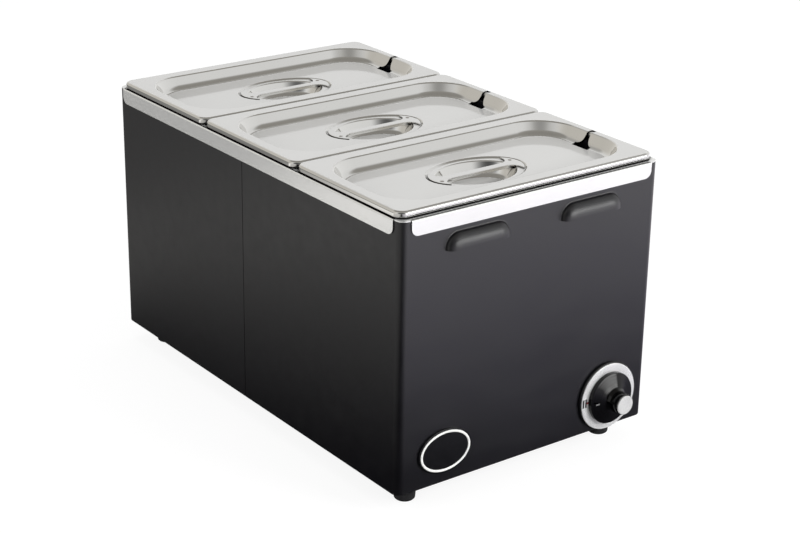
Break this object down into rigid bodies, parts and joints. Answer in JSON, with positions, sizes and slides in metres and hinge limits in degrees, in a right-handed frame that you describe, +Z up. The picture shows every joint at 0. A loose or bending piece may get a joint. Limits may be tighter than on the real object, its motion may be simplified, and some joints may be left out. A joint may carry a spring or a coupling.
{
  "type": "bain marie",
  "caption": "Countertop wet-heat food warmer: black coated casing, stainless tank, third-size pans under notched lids with strap handles, thermostat dial at the front.",
  "frame": {"origin": "on the floor under the feet, at the middle of the bounding box", "axes": "+Z up, -Y towards the front with the dial and the badge, +X to the right as seen from the front"},
  "size_m": [0.3316, 0.5872, 0.3194],
  "materials": {
    "black_coat": "satin black fine-textured coating",
    "galvanised_sheet": "galvanised sheet",
    "foot_rubber": "matte black rubber",
    "zinc_plate": "zinc plated",
    "tank_steel": "brushed stainless steel",
    "pan_steel": "satin drawn stainless steel",
    "lid_steel": "bright polished stainless steel",
    "dial_black": "gloss black plastic",
    "dial_silver": "satin silver scale plate",
    "knob_black": "gloss black plastic with a white pointer mark",
    "cap_silver": "brushed silver",
    "cream_plastic": "cream moulded plastic",
    "badge_black": "gloss black enamel",
    "badge_white": "white enamel",
    "heater_sheath": "heat-darkened alloy sheath",
    "gland_black": "matte black nylon",
    "bulb_copper": "copper",
    "earth_brass": "brass"
  },
  "bodies": {
    "casing": {"front_wrap": "black_coat", "rear_wrap": "black_coat", "seam_strip_left": "galvanised_sheet", "seam_strip_right": "galvanised_sheet", "base_plate": "galvanised_sheet", "foot_1": "foot_rubber", "foot_screw_1": "zinc_plate", "foot_nut_1": "zinc_plate", "foot_2": "foot_rubber", "foot_screw_2": "zinc_plate", "foot_nut_2": "zinc_plate", "foot_3": "foot_rubber", "foot_screw_3": "zinc_plate", "foot_nut_3": "zinc_plate", "foot_4": "foot_rubber", "foot_screw_4": "zinc_plate", "foot_nut_4": "zinc_plate", "base_screw_1": "zinc_plate", "base_screw_2": "zinc_plate", "base_screw_3": "zinc_plate", "base_screw_4": "zinc_plate", "base_screw_5": "zinc_plate", "base_screw_6": "zinc_plate", "base_screw_7": "zinc_plate", "base_screw_8": "zinc_plate", "tank": "tank_steel", "dial_back": "dial_black", "dial_ring": "dial_silver", "thermostat_body": "cream_plastic", "thermostat_screw_1": "zinc_plate", "thermostat_screw_2": "zinc_plate", "badge_plate": "badge_black", "badge_ring": "badge_white", "heating_element": "heater_sheath", "element_clamp_bar": "galvanised_sheet", "clamp_nut_1": "zinc_plate", "clamp_nut_2": "zinc_plate", "overheat_cutout": "gland_black", "thermostat_bulb": "bulb_copper", "cable_gland": "gland_black", "gland_nut": "gland_black", "terminal_block": "cream_plastic", "earth_stud": "earth_brass"},
    "knob": {"knob": "knob_black", "knob_cap": "cap_silver", "thermostat_spindle": "zinc_plate"},
    "pan_1": {"pan_1": "pan_steel"},
    "lid_1": {"lid_1": "lid_steel", "lid_handle_1": "lid_steel"},
    "pan_2": {"pan_2": "pan_steel"},
    "lid_2": {"lid_2": "lid_steel", "lid_handle_2": "lid_steel"},
    "pan_3": {"pan_3": "pan_steel"},
    "lid_3": {"lid_3": "lid_steel", "lid_handle_3": "lid_steel"}
  },
  "joints": [
    {"name": "knob_turn", "type": "hinge", "parent": "casing", "child": "knob", "pos_m": [0.1088, -0.26215, 0.0615], "axis": [0, 1, 0], "range_deg": [0, 300]},
    {"name": "pan_1_lift", "type": "slide", "parent": "casing", "child": "pan_1", "axis": [0, 0, 1], "range_m": [0, 0.22]},
    {"name": "lid_1_lift", "type": "slide", "parent": "pan_1", "child": "lid_1", "axis": [0, 0, 1], "range_m": [0, 0.15]},
    {"name": "pan_2_lift", "type": "slide", "parent": "casing", "child": "pan_2", "axis": [0, 0, 1], "range_m": [0, 0.22]},
    {"name": "lid_2_lift", "type": "slide", "parent": "pan_2", "child": "lid_2", "axis": [0, 0, 1], "range_m": [0, 0.15]},
    {"name": "pan_3_lift", "type": "slide", "parent": "casing", "child": "pan_3", "axis": [0, 0, 1], "range_m": [0, 0.22]},
    {"name": "lid_3_lift", "type": "slide", "parent": "pan_3", "child": "lid_3", "axis": [0, 0, 1], "range_m": [0, 0.15]}
  ]
}
